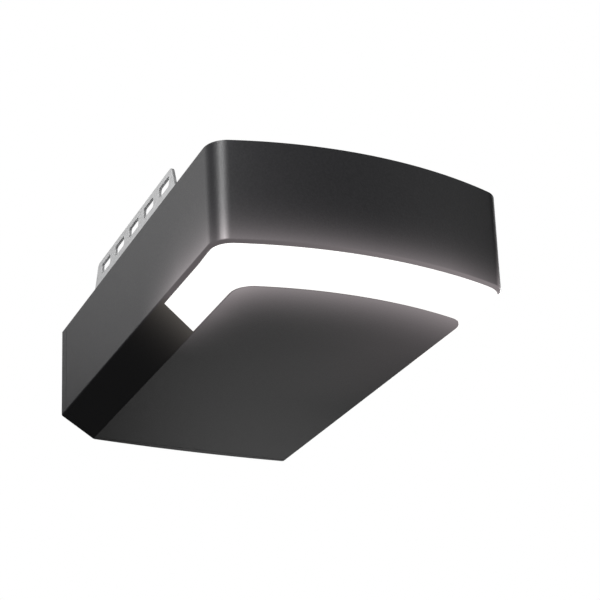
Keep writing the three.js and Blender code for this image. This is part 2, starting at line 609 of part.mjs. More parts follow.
function controlPanel() {
  const { x, z, width, height, corner, y0, y1 } = PANEL;
  const face = pushedY(roundedRectangle(width, height, corner), x, z, y0, y1);
  const holes = BUTTONS.map((b) => barY(BUTTON.r + 0.5, b.x, b.z, y0 - 1, y1 + 1, 16));
  const opening = roundedRectangle(DISPLAY.width + 0.6, DISPLAY.height + 0.6, 2);
  const window = pushedY(opening, DISPLAY.x, DISPLAY.z, y1 - 1.6, y1 + 1);
  return cut(face, ...holes, window);
}

// A button's cap, the collar that keeps it behind the panel, and the stem over its switch.
function buttonCap() {
  const { r, proud, depth, travel, collar, stemR } = BUTTON;
  const collarFront = PANEL.y0 - CLEARANCE;
  const cap = barY(r, 0, 0, PANEL.y1 - depth, PANEL.y1 + proud, 16);
  const rim = barY(r + collar, 0, 0, collarFront - 2, collarFront, 16);
  const stem = barY(stemR, 0, 0, SWITCH_TOP + travel + CLEARANCE, PANEL.y1 - depth + 1, 8);
  return join(cap, rim, stem);
}

function powerInlet() {
  const { x, z, width, height, corner, y0, y1 } = INLET;
  const body = pushedY(roundedRectangle(width, height, corner), x, z, y0, y1);
  const mouth = roundedRectangle(SOCKET.width, SOCKET.height, SOCKET.corner);
  const socket = pushedY(mouth, x, z, y1 - SOCKET.depth, y1 + 1);
  const pins = [[-6.5, -1.5], [0, 2.5], [6.5, -1.5]].map(([dx, dz]) =>
    box([x + dx - 1, y1 - SOCKET.depth - 1, z + dz - 2], [x + dx + 1, y1 - 6, z + dz + 2]),
  );
  return join(cut(body, socket), ...pins);
}

function terminalBlock() {
  const { x, z, width, height, corner, y0, y1, ways } = TERMINAL;
  const body = pushedY(roundedRectangle(width, height, corner), x, z, y0, y1);
  const wayXs = Array.from({ length: ways }, (_, i) => x + (i - (ways - 1) / 2) * (width / ways));
  const entries = wayXs.map((wayX) => box([wayX - 2.2, y1 - 8, z - 6], [wayX + 2.2, y1 + 1, z - 1]));
  const levers = wayXs.map((wayX) => box([wayX - 2.4, y1 - 1, z + 2], [wayX + 2.4, y1 + 1.2, z + 7]));
  return join(cut(body, ...entries), ...levers);
}

function heatSink() {
  const base = box([-100, 176, -60], [-60, 179, -20]);
  const finXs = Array.from({ length: 6 }, (_, i) => -100 + i * 7.7);
  const fins = finXs.map((x) => box([x, 160, -60], [x + 1.5, 177, -20]));
  return join(base, ...fins);
}

function boardBracket() {
  const top = box([-90, 158, PLATE_BOTTOM - 1.8], [90, 183, PLATE_BOTTOM - 0.2]);
  const upright = box([-90, 181.4, -26], [90, 183, PLATE_BOTTOM - 0.5]);
  return join(top, upright);
}

// ---------------------------------------------------------------- assembly
const opener = new THREE.Group();

function add(parent, name, body, look, x = 0, y = 0, z = 0) {
  const mesh = new THREE.Mesh(body.isBufferGeometry ? body : geometryOf(body), look);
  mesh.name = name;
  mesh.position.set(x, y, z);
  parent.add(mesh);
  return mesh;
}

// Casing and light.
add(opener, "main_cover", mainCover(), casingPlastic);
add(opener, "rear_cover", rearCover(), casingPlastic);
add(opener, "light_lens", lightLens(), lensPlastic);
add(opener, "reflector_wall", reflectorWall(), whitePlastic);
add(opener, "led_board", ledBoard(), aluminium);

// Chassis, hanging brackets and rail channel.
add(opener, "chassis_plate", chassisPlate(), galvanised);
add(opener, "rail_channel", railChannel(), galvanised);
const leftBracket = hangingBracket();
add(opener, "left_hanging_bracket", leftBracket, galvanised, 0, BRACKET.midY, 0);
add(opener, "right_hanging_bracket", leftBracket.mirror([1, 0, 0]), galvanised, 0, BRACKET.midY, 0);

const bracketScrew = geometryOf(panScrew(2.1, 12, 4.6, 3));
const channelScrew = geometryOf(countersunkScrew(2.9, 9, 5.4, CHANNEL.sheet));
const coverScrew = geometryOf(panScrew(1.9, 18, 4.2, 2.8));
const housingBolt = geometryOf(hexBolt(3, 24, 5.8, 4));
const isolator = geometryOf(ring(9, 3.5, HOUSING.top + 0.2, PLATE_BOTTOM - 0.2, 12));
BRACKET_SCREWS.forEach(([x, y], i) =>
  add(opener, `bracket_screw_${i + 1}`, bracketScrew, zincSteel, x, y, PLATE_TOP + 0.2 + BRACKET.sheet));
CHANNEL_SCREWS.forEach(([x, y], i) =>
  add(opener, `channel_screw_${i + 1}`, channelScrew, zincSteel, x, y, -0.1));
COVER_SCREWS.forEach(([x, y], i) =>
  add(opener, `cover_screw_${i + 1}`, coverScrew, zincSteel, x, y, PLATE_TOP + 0.1));
HOUSING_BOLTS.forEach(([x, y], i) => {
  add(opener, `gearbox_bolt_${i + 1}`, housingBolt, zincSteel, x, y, PLATE_TOP + 0.1);
  add(opener, `isolator_${i + 1}`, isolator, rubber, x, y, 0);
});

// Gearbox and upright output shaft.
add(opener, "gearbox_housing", gearboxHousing(), dieCast);
add(opener, "gearbox_lid", gearboxLid(), dieCast);
const outputAxis = new THREE.Group();
outputAxis.position.set(0, SHAFT.y, 0);
opener.add(outputAxis);
add(outputAxis, "upper_bearing", ring(15, SHAFT.r + CLEARANCE, -24, -14.2), zincSteel);
add(outputAxis, "lower_bearing", ring(15, SHAFT.r + CLEARANCE, -65.7, -56.8), zincSteel);
add(outputAxis, "output_shaft", outputShaft(), zincSteel);
add(outputAxis, "worm_wheel", wormWheel(), nylon, 0, 0, DRIVE_Z);
add(outputAxis, "drive_sprocket", driveSprocket(), zincSteel);
add(outputAxis, "retaining_clip", retainingClip(), zincSteel);

// Motor, lying along Y beside the shaft.
const motorAxis = new THREE.Group();
motorAxis.position.set(WORM_X, 0, DRIVE_Z);
opener.add(motorAxis);
add(motorAxis, "motor_can", motorCan(), motorSteel);
add(motorAxis, "motor_end_cap", motorEndCap(), blackPlastic);
add(motorAxis, "magnet_right", magnet(1), ferrite);
add(motorAxis, "magnet_left", magnet(-1), ferrite);
add(motorAxis, "worm_shaft", wormShaft(), zincSteel);
add(motorAxis, "armature", armature(), copper);
add(motorAxis, "encoder_disc", encoderDisc(), blackPlastic);

// Transformer, hung from the plate by its centre bolt.
const transformer = new THREE.Group();
transformer.position.set(TRANSFORMER.x, TRANSFORMER.y, 0);
opener.add(transformer);
add(transformer, "transformer_coil", transformerCoil(), copper, 0, 0, PLATE_BOTTOM - 1);
add(transformer, "transformer_disc", ring(30, 3.4, -51.5, -49), galvanised);
add(transformer, "transformer_bolt", hexBolt(3, 56, 5.8, 4), zincSteel, 0, 0, PLATE_TOP + 0.1);

// Control electronics and the controls in the rear cover.
add(opener, "control_board", controlBoard(), boardGreen);
add(opener, "board_bracket", boardBracket(), galvanised);
add(opener, "heat_sink", heatSink(), aluminium);
add(opener, "relay", box([-40, 166, -56], [-12, 183, -42]), bluePlastic);
add(opener, "capacitor", barY(11, 10, -58, 148, 183, 20), blackPlastic);
add(opener, "terminal_block", terminalBlock(), greenPlastic);
add(opener, "power_inlet", powerInlet(), blackPlastic);
add(opener, "control_panel", controlPanel(), blackPlastic);
const displayShape = roundedRectangle(DISPLAY.width, DISPLAY.height, 2);
const displayBody = pushedY(displayShape, DISPLAY.x, DISPLAY.z, PANEL.y1 - 1.5, PANEL.y1 - 0.1);
add(opener, "display_window", displayBody, smokedWindow);
const cap = geometryOf(buttonCap());
BUTTONS.forEach(({ name, x, z }) => add(opener, `button_${name}`, cap, greyPlastic, x, 0, z));

export default opener;
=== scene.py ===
# Garage door opener head: its looks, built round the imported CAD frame.
# Metres, in the CAD model's own frame: +Z up, the curved light end faces -Y, the controls +Y.
import math

import bmesh
import bpy
from mathutils import Euler, Matrix, Vector


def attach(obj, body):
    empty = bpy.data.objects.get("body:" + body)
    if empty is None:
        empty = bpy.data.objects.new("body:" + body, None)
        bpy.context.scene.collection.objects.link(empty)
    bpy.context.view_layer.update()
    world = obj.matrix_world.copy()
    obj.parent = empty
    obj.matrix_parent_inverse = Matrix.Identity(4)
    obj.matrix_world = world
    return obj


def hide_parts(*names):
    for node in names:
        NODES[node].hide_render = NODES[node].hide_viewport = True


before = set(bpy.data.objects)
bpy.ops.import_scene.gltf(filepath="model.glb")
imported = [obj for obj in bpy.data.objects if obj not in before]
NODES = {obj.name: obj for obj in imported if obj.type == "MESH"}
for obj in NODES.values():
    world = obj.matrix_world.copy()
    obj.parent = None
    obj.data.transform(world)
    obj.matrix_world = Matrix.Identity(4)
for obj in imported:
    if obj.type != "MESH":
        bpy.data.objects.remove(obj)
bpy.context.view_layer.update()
MM = 0.001

# ------------------------------------------------------------------ dimensions, in mm
# The casing: plan outlines at the top rim, at the edge under the walls and at the bottom.
RIM = dict(half=127.2, front=-206, rear=205.5, bow=6.5, arc=366, fillet=20, z=-1)
EDGE = dict(half=125, front=-206, rear=205.5, bow=6.5, arc=366, fillet=18.5, z=-85.5)
FLOOR = dict(half=97, front=-175.5, rear=194.7, bow=3.8, arc=335.5, fillet=18, z=-109)
WALL = 2.5
SEAM_Y = 190
SEAM_GAP = 0.5
LENS_END_Y = -70
LENS_LIP = 3.5
LENS_CORNER = 3
LENS_GAP = 0.45
LENS_SET_BACK = 0.9
LENS_THICKNESS = 1.5
EDGE_SOFTNESS = 1.3  # tangent length of the rounding under the walls
FLOOR_SOFTNESS = 0.45
REAR_CORNER = 2.0

# Chassis and what is seen on it.
PLATE_TOP = -2.1
PLATE_BOTTOM = -4.1
BRACKET = dict(
    outer=124, sheet=2.5, foot=26, bend=3.4, top=25.4, corner=6, mid_y=6.6, half_top=96.4, half_base=107.4,
)
BRACKET_SLOTS = dict(mid_y=4, z=15.4, pitch=38, count=5, width=9, length=24, corner=2.2)
CHANNEL = dict(half=25, sheet=1.9, wall=20, bend=3, length=220, opening=21)
SHAFT = dict(y=-60, r=7, bottom=-65, top=19.5)
BRACKET_SCREWS = [(-108, -62), (-108, 70), (108, -62), (108, 70)]
CHANNEL_SCREWS = [(-16, -92), (16, -92), (-16, 92), (16, 92)]
COVER_SCREWS = [(-118.5, -120), (118.5, -120), (-118.5, 160), (118.5, 160)]
HOUSING_BOLTS = [(-42, -100), (54, -100), (-42, -20), (54, -20)]
TRANSFORMER = (-60, 74)
REST_Z = PLATE_TOP + 0.1  # height on which the brackets and bolt heads rest
THROUGH_PLATE = (-10, 5)  # heights that a cut through the chassis plate reaches

# Controls in the rear cover; x and z are their middles.
PANEL = dict(x=60, z=-46, width=92, height=46, corner=5, y0=206.6, y1=212.6)
DISPLAY = dict(x=82, z=-46, width=30, height=22, corner=2)
INLET = dict(x=-84, z=-48, width=31, height=24, corner=2, y0=190, y1=211.6)
TERMINAL = dict(x=-36, z=-48, width=44, height=18, corner=1.5, y0=192, y1=211)
TERMINAL_WAYS = 6
BUTTONS = {"up": (33, -37.5), "down": (33, -54.5), "set": (50, -37.5), "learn": (50, -54.5)}
BUTTON_R = 5.5
VENT_XS = [-100 + i * 200 / 11 for i in range(12)]
VENT_Z = -14
THROUGH_REAR = (195, 220)  # depths that a cut through the rear cover reaches

# How much of the lens's light is painted as emission on the plastic beside it: the strength at the lens,
# and how fast it fades per mm and per square mm.
PAINTED_LENS_LIGHT = {
    "bottom_front": (0.198, 0.0335, 0.00019),
    "bottom_left": (0.111, 0.05, 0.001),
    "bottom_right": (0.032, 0.0, 0.00016),
    "side_wall": (0.20, 0.07, 0.0),
    "front_wall": (0.134, 0.078, 0.001),
    "chamfer": (0.072, 0.0385, 0.0001),
}
AMBIENT = 0.0386  # strength of the even light from all round


# ------------------------------------------------------------------ camera
def make_camera():
    """Below the unit and in front of its left corner, tilted a little."""
    azimuth, elevation, roll = (math.radians(a) for a in (-25.175, -24.779, -1.975))
    aim, distance = Vector((0.0212, -0.0182, -0.0394)), 1.3731
    back = Vector((
        math.sin(azimuth) * math.cos(elevation),
        -math.cos(azimuth) * math.cos(elevation),
        math.sin(elevation),
    ))
    data = bpy.data.cameras.new("camera")
    data.sensor_width = 36
    data.lens = 94.795
    camera = bpy.data.objects.new("camera", data)
    bpy.context.scene.collection.objects.link(camera)
    camera.location = aim + back * distance
    upright = back.to_track_quat("Z", "Y")
    camera.rotation_mode = "QUATERNION"
    camera.rotation_quaternion = upright @ Euler((0, 0, roll)).to_quaternion()
    bpy.context.scene.camera = camera


make_camera()


# ------------------------------------------------------------------ meshes
def new_object(name, verts, faces):
    """A linked object from points in mm."""
    mesh = bpy.data.meshes.new(name)
    mesh.from_pydata([Vector(v) * MM for v in verts], [], faces)
    mesh.validate()
    obj = bpy.data.objects.new(name, mesh)
    bpy.context.scene.collection.objects.link(obj)
    return obj


def face_outwards(obj):
    bm = bmesh.new()
    bm.from_mesh(obj.data)
    bmesh.ops.recalc_face_normals(bm, faces=bm.faces)
    bm.to_mesh(obj.data)
    bm.free()


def apply_modifiers(obj):
    bpy.context.view_layer.update()
    graph = bpy.context.evaluated_depsgraph_get()
    made = bpy.data.meshes.new_from_object(obj.evaluated_get(graph))
    obj.modifiers.clear()
    obj.data = made


def solidify(obj, thickness):
    """Gives an outer skin a wall that grows inwards."""
    face_outwards(obj)
    modifier = obj.modifiers.new("wall", "SOLIDIFY")
    modifier.thickness = thickness * MM
    modifier.offset = -1
    modifier.use_even_offset = True
    apply_modifiers(obj)


def carve(obj, cutters, operation="DIFFERENCE"):
    """Cuts or joins other objects, which are used up."""
    for cutter in cutters:
        modifier = obj.modifiers.new("carve", "BOOLEAN")
        modifier.operation = operation
        modifier.solver = "EXACT"
        modifier.object = cutter
    apply_modifiers(obj)
    for cutter in cutters:
        bpy.data.objects.remove(cutter)


def soften(obj, width, segments=2, angle=40):
    """Rounds the sharp edges and shades the rest smooth."""
    if width:
        modifier = obj.modifiers.new("soft_edges", "BEVEL")
        modifier.width = width * MM
        modifier.segments = segments
        modifier.limit_method = "ANGLE"
        modifier.angle_limit = math.radians(angle)
        modifier.miter_outer = "MITER_ARC"
        apply_modifiers(obj)
    for polygon in obj.data.polygons:
        polygon.use_smooth = True
    obj.data.set_sharp_from_angle(angle=math.radians(angle))
    weighted = obj.modifiers.new("flat_faces_stay_flat", "WEIGHTED_NORMAL")
    weighted.keep_sharp = True
    weighted.weight = 60
    apply_modifiers(obj)


def prism(name, outline, axis, low, high, place=(0, 0, 0)):
    """A closed outline of (a, b) points pushed along an axis. Seen along Z the points are (x, y),
    along Y (x, z) and along X (y, z)."""
    seat = {
        "X": lambda a, b, c: (c, a, b),
        "Y": lambda a, b, c: (a, c, b),
        "Z": lambda a, b, c: (a, b, c),
    }[axis]
    count = len(outline)
    verts = [Vector(seat(a, b, c)) + Vector(place) for c in (low, high) for a, b in outline]
    sides = [(i, (i + 1) % count, (i + 1) % count + count, i + count) for i in range(count)]
    obj = new_object(name, verts, [tuple(range(count)), tuple(range(count, 2 * count)), *sides])
    face_outwards(obj)
    return obj


def arc(x, y, r, start, end, steps):
    """Points of an arc, both ends included."""
    angles = [start + (end - start) * i / steps for i in range(steps + 1)]
    return [(x + r * math.cos(a), y + r * math.sin(a)) for a in angles]


def circle(r, sides=48, x=0, y=0):
    return arc(x, y, r, 0, 2 * math.pi, sides)[:-1]


def rounded_rectangle(width, height, corner, x=0, y=0, steps=8):
    w, h = width / 2 - corner, height / 2 - corner
    middles = [(w, -h), (w, h), (-w, h), (-w, -h)]
    quarter = math.pi / 2
    corners = (
        arc(x + cx, y + cy, corner, (i - 1) * quarter, i * quarter, steps)
        for i, (cx, cy) in enumerate(middles)
    )
    return [point for points in corners for point in points]


def plate_shape(p, grow=0.0):
    """The outline of a rounded plate in the rear cover, grown all round if asked."""
    corner = p["corner"] + grow / 2
    return rounded_rectangle(p["width"] + grow, p["height"] + grow, corner, p["x"], p["z"])


def turned(name, profile, place=(0, 0, 0), sides=48, axis="Z"):
    """A closed body of revolution about Z or Y, from (radius, height) points that start and end on
    the axis."""
    verts, faces, rings = [], [], []
    for r, h in profile:
        if r == 0:
            rings.append([len(verts)] * sides)
            verts.append((0, 0, h))
        else:
            rings.append(list(range(len(verts), len(verts) + sides)))
            verts.extend((*p, h) for p in circle(r, sides))
    for low, high in zip(rings, rings[1:]):
        for i in range(sides):
            j = (i + 1) % sides
            face = tuple(dict.fromkeys((low[i], low[j], high[j], high[i])))
            if len(face) > 2:
                faces.append(face)
    if axis == "Y":
        verts = [(x, z, y) for x, y, z in verts]
    obj = new_object(name, [Vector(v) + Vector(place) for v in verts], faces)
    face_outwards(obj)
    return obj


def settle(obj, look, node, body="head"):
    """Finishes a piece: its material, the CAD node it stands for and its body."""
    obj.data.materials.clear()
    obj.data.materials.append(LOOKS[look])
    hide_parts(node)
    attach(obj, body)


def copies(obj, look, prefix, places):
    """The same piece at several places, for CAD nodes numbered from 1."""
    for i, (x, y) in enumerate(places, 1):
        twin = obj if i == len(places) else obj.copy()
        if twin is not obj:
            bpy.context.scene.collection.objects.link(twin)
        twin.name = f"{prefix}_{i}_visual"
        twin.location = Vector((x, y, 0)) * MM
        settle(twin, look, f"{prefix}_{i}")


# ------------------------------------------------------------------ materials
class Shader:
    """A node material with one Principled shader, and short names for the nodes used here."""

    def __init__(self, name):
        self.material = bpy.data.materials.new(name + "_finish")
        self.material.use_nodes = True
        self.tree = self.material.node_tree
        self.bsdf = self.tree.nodes["Principled BSDF"]

    def node(self, kind, **sockets):
        made = self.tree.nodes.new("ShaderNode" + kind)
        for name, value in sockets.items():
            self.put(made.inputs[name.replace("_", " ")], value)
        return made

    def put(self, socket, value):
        if isinstance(value, bpy.types.NodeSocket):
            self.tree.links.new(value, socket)
        else:
            socket.default_value = value

    def set(self, **sockets):
        for name, value in sockets.items():
            self.put(self.bsdf.inputs[name.replace("_", " ")], value)

    def where(self):
        return self.node("TexCoord").outputs["Object"]

    def math(self, operation, *values):
        made = self.tree.nodes.new("ShaderNodeMath")
        made.operation = operation
        for socket, value in zip(made.inputs, values):
            self.put(socket, value)
        return made.outputs[0]

    def plus(self, a, b):
        return self.math("ADD", a, b)

    def minus(self, a, b):
        return self.math("SUBTRACT", a, b)

    def times(self, a, b):
        return self.math("MULTIPLY", a, b)

    def squared(self, a):
        return self.math("POWER", a, 2.0)

    def magnitude(self, a):
        return self.math("ABSOLUTE", a)

    def blend(self, factor, a, b):
        made = self.node("Mix", A=a, B=b)
        self.put(made.inputs["Factor"], factor)
        return made.outputs["Result"]

    def noise(self, scale, detail=2.0, roughness=0.5, stretch=None):
        made = self.node("TexNoise", Scale=scale, Detail=detail, Roughness=roughness)
        place = self.where()
        if stretch:
            place = self.node("Mapping", Vector=place, Scale=stretch).outputs[0]
        self.put(made.inputs["Vector"], place)
        return made.outputs["Fac"]

    def ramp(self, factor, low, high):
        """The factor from low to high, spread over 0 to 1."""
        made = self.node("MapRange", Value=factor)
        made.inputs["From Min"].default_value = low
        made.inputs["From Max"].default_value = high
        return made.outputs[0]

    def between(self, factor, low, high):
        """0 to 1 spread over low to high."""
        made = self.node("MapRange", Value=factor)
        made.inputs["To Min"].default_value = low
        made.inputs["To Max"].default_value = high
        return made.outputs[0]

    def mix(self, factor, a, b):
        made = self.tree.nodes.new("ShaderNodeMix")
        made.data_type = "RGBA"
        self.put(made.inputs["Factor"], factor)
        self.put(made.inputs["A"], a if isinstance(a, bpy.types.NodeSocket) else (*a, 1))
        self.put(made.inputs["B"], b if isinstance(b, bpy.types.NodeSocket) else (*b, 1))
        return made.outputs["Result"]

    def bump(self, height, strength, distance_mm, under=None):
        made = self.node("Bump", Strength=strength, Distance=distance_mm * MM, Height=height)
        if under:
            self.put(made.inputs["Normal"], under)
        return made.outputs[0]


def paint_lens_light_on_casing(s):
    """Painted light: emission on the plastic round the lens that stands for the lens's light falling on
    it. It fades with the distance in mm to the lens, by a law of its own on each face. Gives the painted
    brightness and its colour."""
    place = s.node("SeparateXYZ", Vector=s.where()).outputs
    x, y, z = (s.math("DIVIDE", place[axis], MM) for axis in "XYZ")
    normal = s.node("SeparateXYZ", Vector=s.node("NewGeometry").outputs["Normal"]).outputs
    sideways, down = s.magnitude(normal["X"]), s.times(normal["Z"], -1.0)

    def fade(face, distance):
        peak, linear, square = PAINTED_LENS_LIGHT[face]
        clear = s.math("MAXIMUM", distance, 0.0)
        depth = s.plus(s.times(clear, linear), s.times(s.squared(clear), square))
        return s.times(s.math("EXPONENT", s.times(depth, -1.0)), peak)

    behind = s.minus(y, LENS_END_Y)  # how far behind the ends of the lens
    leg = s.math("POWER", s.ramp(behind, 50, -38), 1.25)

    # The bottom: painted light from the curved front band of the lens, its left leg and, broad and weak,
    # its right leg.
    from_centre = s.minus(y, FLOOR["front"] + FLOOR["arc"])
    radius = s.math("SQRT", s.plus(s.squared(x), s.squared(from_centre)))
    from_front = s.minus(FLOOR["arc"], radius)
    left_leg = s.times(fade("bottom_left", s.plus(x, FLOOR["half"])), leg)
    right_leg = s.times(fade("bottom_right", s.minus(FLOOR["half"], x)), s.ramp(behind, 110, -20))
    bottom = s.plus(fade("bottom_front", from_front), s.plus(left_leg, right_leg))

    # The walls: painted light, weaker at the right end, with painted shade on the turn of the front
    # corners and a painted highlight beside it.
    above = s.minus(z, EDGE["z"])
    side, front = fade("side_wall", above), fade("front_wall", above)
    right_end = s.between(s.ramp(x, 65, 118), 1.0, 0.5)
    painted_corner_shade = s.times(s.ramp(sideways, 1.0, 0.96), s.ramp(sideways, 0.70, 0.82))
    painted_corner_highlight = s.ramp(s.magnitude(s.minus(sideways, 0.57)), 0.18, 0.0)
    corner_shade_and_highlight = s.plus(s.between(painted_corner_shade, 1.0, 0.45), s.between(painted_corner_highlight, 0.0, 1.5))
    wall = s.times(s.times(s.times(leg, right_end), s.blend(sideways, front, side)), corner_shade_and_highlight)

    # The chamfer: painted light from the lens, fading along the dark length behind it, and a painted strip
    # of light on the lip over it.
    lip = s.times(s.ramp(behind, 0, -15), s.between(s.ramp(x, -125, 75), 0.03, 0.15))
    chamfer = s.plus(fade("chamfer", behind), lip)

    below_edge = s.blend(s.ramp(down, 0.90, 0.985), chamfer, bottom)
    strength = s.blend(s.ramp(down, 0.5, 0.1), below_edge, wall)
    off_chamfer = s.ramp(s.magnitude(s.minus(down, 0.78)), 0.05, 0.15)
    beside_lens = s.ramp(behind, 0, -8)
    painted_light_colour = s.mix(s.math("MAXIMUM", off_chamfer, beside_lens), (1, 0.91, 0.83), (1, 0.89, 0.92))
    return strength, painted_light_colour


def casing_plastic():
    """Dark charcoal plastic with a fine moulded grain, and the lens's light painted on it as a warm
    emission.
    """
    s = Shader("casing_plastic")
    grain = s.noise(640, detail=3, roughness=0.65)
    # painted light from the lens, given to the casing as emission
    painted_light, painted_light_colour = paint_lens_light_on_casing(s)
    cloud = s.noise(14, detail=3)
    tone = s.mix(s.ramp(grain, 0.35, 0.68), (0.0205, 0.0205, 0.0225), (0.0325, 0.032, 0.035))
    tone = s.mix(s.between(cloud, 0.0, 0.25), tone, (0.036, 0.035, 0.0375))
    relief = s.bump(grain, 0.62, 0.13, s.bump(s.noise(420, detail=2), 0.15, 0.10))
    s.set(
        Base_Color=tone,
        Roughness=s.between(s.noise(900, detail=2), 0.35, 0.49),
        Normal=relief,
        Emission_Color=painted_light_colour,
        Emission_Strength=painted_light,
    )
    s.bsdf.inputs["Specular IOR Level"].default_value = 0.5
    return s.material


def lens_plastic():
    """Opal diffuser lit from behind by the row of LEDs."""
    s = Shader("lens_plastic")
    hot = s.noise(38, detail=1)
    s.set(
        Base_Color=s.mix(hot, (0.86, 0.86, 0.86), (0.92, 0.92, 0.92)),
        Roughness=s.between(s.noise(300), 0.30, 0.42),
        Normal=s.bump(s.noise(700), 0.08, 0.05),
        Emission_Color=(1.0, 0.985, 0.97, 1),
        Emission_Strength=s.between(hot, 1.0, 1.12),
    )
    return s.material


def galvanised_sheet():
    """Bright zinc-coated sheet: pale spangle and faint rolling lines."""
    s = Shader("galvanised_sheet")
    cells = s.node("TexVoronoi", Vector=s.where(), Scale=260.0).outputs["Color"]
    spangle = s.node("SeparateColor", Color=cells).outputs[0]
    cloud = s.noise(60, detail=4)
    tone = s.mix(spangle, (0.60, 0.605, 0.61), (0.72, 0.725, 0.73))
    tone = s.mix(s.between(cloud, 0.0, 0.5), tone, (0.68, 0.68, 0.68))
    lines = s.noise(900, detail=2, stretch=(1, 0.03, 1))
    s.set(
        Base_Color=tone,
        Metallic=0.75,
        Roughness=s.between(spangle, 0.38, 0.52),
        Normal=s.bump(lines, 0.10, 0.03, s.bump(cloud, 0.06, 0.1)),
    )
    return s.material


def plastic(name, dark, light, roughness, grain=900):
    """Moulded plastic: a slightly uneven tone, a fine grain and a varying gloss."""
    s = Shader(name)
    fine = s.noise(grain, detail=2)
    s.set(
        Base_Color=s.mix(s.noise(35, detail=3), dark, light),
        Roughness=s.between(fine, roughness - 0.06, roughness + 0.06),
        Normal=s.bump(fine, 0.14, 0.05),
    )
    return s.material


def metal(name, dark, light, roughness, metallic=1.0, stretch=None, relief=0.1):
    """Bare or plated metal: cloudy tone, with fine marks that can run one way."""
    s = Shader(name)
    marks = s.noise(600, detail=3, stretch=stretch)
    s.set(
        Base_Color=s.mix(s.noise(80, detail=4), dark, light),
        Metallic=metallic,
        Roughness=s.between(marks, roughness - 0.08, roughness + 0.08),
        Normal=s.bump(marks, relief, 0.04),
    )
    return s.material


def winding():
    """Enamelled copper wire, wound in fine parallel turns."""
    s = Shader("winding")
    turns = s.node("TexWave", Vector=s.where(), Scale=420.0, Distortion=0.6, Detail=1.0).outputs["Fac"]
    s.set(
        Base_Color=s.mix(turns, (0.20, 0.065, 0.025), (0.55, 0.23, 0.10)),
        Metallic=0.7,
        Roughness=s.between(turns, 0.30, 0.5),
        Normal=s.bump(turns, 0.5, 0.2),
    )
    return s.material


def circuit_board():
    """Green solder mask with paler copper tracks under it."""
    s = Shader("board_green")
    tracks = s.node("TexBrick", Vector=s.where(), Scale=120.0)
    line = s.ramp(s.node("RGBToBW", Color=tracks.outputs["Color"]).outputs[0], 0.3, 0.5)
    s.set(
        Base_Color=s.mix(line, (0.012, 0.10, 0.045), (0.03, 0.20, 0.09)),
        Roughness=s.between(s.noise(300), 0.28, 0.42),
        Normal=s.bump(line, 0.2, 0.05),
    )
    return s.material


def smoked_window():
    """Glossy black acrylic with faint wipe marks."""
    s = Shader("smoked_window")
    wipes = s.noise(60, detail=4, stretch=(1, 1, 5))
    s.set(
        Base_Color=s.mix(wipes, (0.004, 0.004, 0.005), (0.012, 0.012, 0.014)),
        Roughness=s.between(wipes, 0.06, 0.16),
        Normal=s.bump(wipes, 0.02, 0.03),
    )
    return s.material


LOOKS = {
    "casing_plastic": casing_plastic(),
    "lens_plastic": lens_plastic(),
    "galvanised_sheet": galvanised_sheet(),
    "zinc_steel": metal("zinc_steel", (0.42, 0.43, 0.45), (0.60, 0.61, 0.62), 0.30),
    "die_cast": metal("die_cast", (0.34, 0.35, 0.36), (0.46, 0.47, 0.48), 0.52, 0.85, relief=0.25),
    "motor_steel": metal("motor_steel", (0.030, 0.032, 0.036), (0.055, 0.057, 0.062), 0.42, 0.5),
    "ferrite": metal("ferrite", (0.035, 0.035, 0.037), (0.06, 0.06, 0.062), 0.75, 0.1, relief=0.3),
    "aluminium": metal("aluminium", (0.60, 0.61, 0.62), (0.74, 0.75, 0.76), 0.36, stretch=(1, 1, 0.05)),
    "winding": winding(),
    "board_green": circuit_board(),
    "smoked_window": smoked_window(),
    "nylon": plastic("nylon", (0.70, 0.66, 0.55), (0.80, 0.76, 0.66), 0.48),
    "rubber": plastic("rubber", (0.012, 0.012, 0.012), (0.022, 0.022, 0.022), 0.82),
    "white_plastic": plastic("white_plastic", (0.82, 0.82, 0.80), (0.90, 0.90, 0.88), 0.45),
    "black_plastic": plastic("black_plastic", (0.010, 0.010, 0.011), (0.019, 0.019, 0.020), 0.42),
    "blue_plastic": plastic("blue_plastic", (0.010, 0.060, 0.27), (0.018, 0.090, 0.36), 0.38),
    "green_plastic": plastic("green_plastic", (0.025, 0.24, 0.055), (0.045, 0.32, 0.085), 0.42),
    "grey_plastic": plastic("grey_plastic", (0.22, 0.23, 0.25), (0.30, 0.31, 0.33), 0.46),
}


# ------------------------------------------------------------------ casing
def straight_then_front(level, side_ys):
    """The plan line of a level: up the left side, round the curved front, down the right side."""
    centre_y = level["front"] + level["arc"]
    x, r = level["half"] - level["fillet"], level["fillet"]
    y = centre_y - math.sqrt((level["arc"] - r) ** 2 - x * x)
    turn = math.atan2(y - centre_y, -x) + 2 * math.pi
    left = arc(-x, y, r, math.pi, turn, 12)
    front = arc(0, centre_y, level["arc"], turn, 3 * math.pi - turn, 44)
    right = arc(x, y, r, 3 * math.pi - turn, 2 * math.pi, 12)
    side = [(-level["half"], side_y) for side_y in side_ys]
    return [*side, *left, *front[1:-1], *right, *((-px, py) for px, py in reversed(side))]


def bent(a, corner, b, steps):
    """Points of a soft corner between a and b, without its two ends."""
    shares = [i / steps for i in range(1, steps)]
    return [a * (1 - t) ** 2 + corner * 2 * t * (1 - t) + b * t * t for t in shares]


